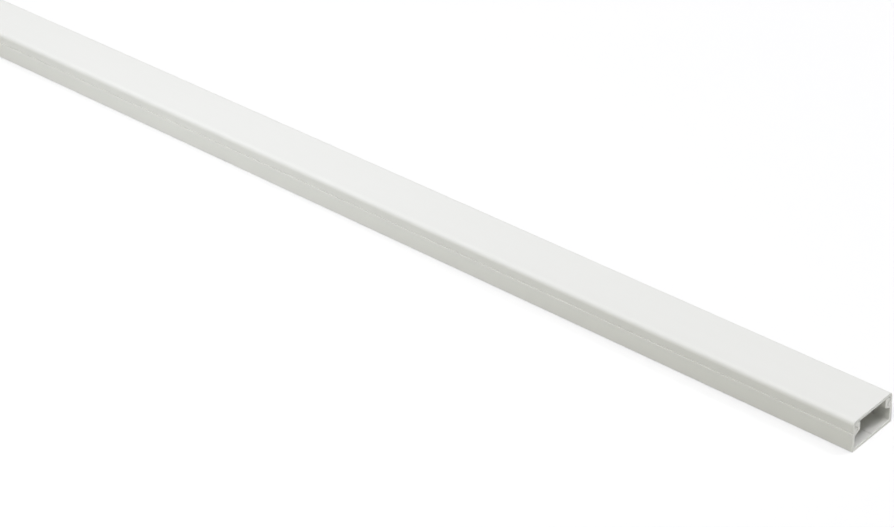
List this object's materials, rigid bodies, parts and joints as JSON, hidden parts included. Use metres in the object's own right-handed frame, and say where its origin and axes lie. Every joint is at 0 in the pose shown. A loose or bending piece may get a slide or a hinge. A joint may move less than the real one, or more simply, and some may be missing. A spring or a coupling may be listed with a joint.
{
  "type": "cord cover raceway",
  "caption": "Straight rectangular plastic wire raceway: a base channel with inward necks and a flat cover that snaps over them.",
  "frame": {"origin": "centre of the flat underside that lies against the wall", "axes": "+X along the length, +Y across the width, +Z out from the wall through the cover"},
  "size_m": [0.762, 0.02, 0.011],
  "materials": {
    "base_pvc": "white rigid PVC, extruded, satin",
    "cover_pvc": "white rigid PVC, extruded, satin"
  },
  "bodies": {
    "base": {"base_channel": "base_pvc"},
    "cover": {"snap_cover": "cover_pvc"}
  },
  "joints": [
    {"name": "cover_slide", "type": "slide", "parent": "base", "child": "cover", "axis": [1, 0, 0], "range_m": [-0.7, 0.7]}
  ]
}
